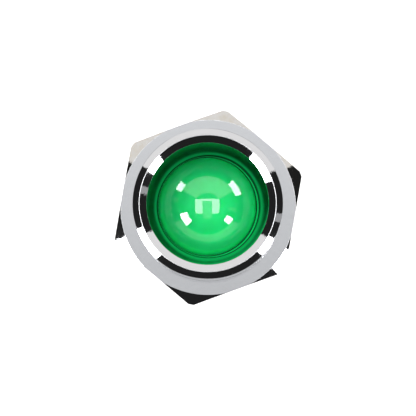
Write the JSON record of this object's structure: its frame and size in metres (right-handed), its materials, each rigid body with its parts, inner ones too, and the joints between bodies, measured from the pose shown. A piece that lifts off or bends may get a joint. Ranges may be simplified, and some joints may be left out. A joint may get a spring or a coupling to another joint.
{
  "type": "panel pilot light",
  "caption": "Round green domed lens in a tall polished collar on a hexagonal head, with a threaded barrel, panel nut and pull-out bayonet lamp holder.",
  "frame": {"origin": "centre of the panel's front face, which the gasket lies on", "axes": "+Z along the thread axis, out of the panel towards the viewer; two of the hexagon's corners lie on +X and -X; the terminals stand at +X and -X"},
  "size_m": [0.025, 0.022, 0.0438],
  "materials": {
    "bezel_chrome": "bright chrome plate on turned brass",
    "lens_green": "polished translucent green acrylic",
    "seal_rubber": "matt nitrile rubber",
    "spring_steel": "phosphated spring steel",
    "gasket_rubber": "matt neoprene",
    "washer_zinc": "bright zinc plate",
    "nut_nickel": "nickel plate on brass",
    "holder_phenolic": "moulded black phenolic, slight sheen",
    "grip_bronze": "phosphor bronze wire",
    "shell_brass": "pressed brass, lightly tarnished",
    "disc_fibre": "vulcanised fibre",
    "plunger_brass": "turned brass",
    "contact_spring_steel": "nickel-plated spring wire",
    "terminal_tinned": "tinned brass strip",
    "rivet_brass": "tubular brass rivet",
    "lamp_base_nickel": "nickel-plated brass",
    "lamp_glass_clear": "clear glass",
    "lamp_insulator_black": "black vitrite",
    "lamp_solder": "dull solder",
    "lamp_lead_wire": "nickel wire",
    "lamp_bead_glass": "blue-grey glass bead",
    "filament_tungsten": "tungsten coil"
  },
  "bodies": {
    "bezel": {"bezel_body": "bezel_chrome", "lens": "lens_green", "lens_seal": "seal_rubber", "snap_ring": "spring_steel", "panel_gasket": "gasket_rubber"},
    "washer": {"lock_washer": "washer_zinc"},
    "nut": {"mounting_nut": "nut_nickel"},
    "holder": {"holder_body": "holder_phenolic", "grip_spring": "grip_bronze", "socket_shell": "shell_brass", "terminal_centre": "terminal_tinned", "terminal_shell": "terminal_tinned", "terminal_rivets": "rivet_brass", "contact_spring": "contact_spring_steel"},
    "contact": {"contact_disc": "disc_fibre", "contact_plunger": "plunger_brass"},
    "lamp": {"lamp_base": "lamp_base_nickel", "lamp_glass": "lamp_glass_clear", "lamp_insulator": "lamp_insulator_black", "lamp_contact": "lamp_solder", "lamp_wires": "lamp_lead_wire", "lamp_bead": "lamp_bead_glass", "lamp_filament": "filament_tungsten"}
  },
  "joints": [
    {"name": "nut_travel", "type": "slide", "parent": "bezel", "child": "washer", "axis": [0, 0, -1], "range_m": [-0.001, 0.009]},
    {"name": "nut_turn", "type": "hinge", "parent": "washer", "child": "nut", "pos_m": [0, 0, -0.005], "axis": [0, 0, -1], "range_deg": [-360, 3240]},
    {"name": "holder_pull", "type": "slide", "parent": "bezel", "child": "holder", "axis": [0, 0, -1], "range_m": [0, 0.03]},
    {"name": "contact_push", "type": "slide", "parent": "holder", "child": "contact", "axis": [0, 0, -1], "range_m": [0, 0.0009], "deforming": ["contact_spring"]},
    {"name": "lamp_push", "type": "slide", "parent": "holder", "child": "lamp", "axis": [0, 0, -1], "range_m": [0, 0.0009], "stiffness_N_per_m": 800, "springref_m": -0.001}
  ],
  "couplings": [
    {"joint": "nut_travel", "follows": "nut_turn", "m_per_rad": 0.00015915},
    {"joint": "contact_push", "follows": "lamp_push", "ratio": 1}
  ]
}
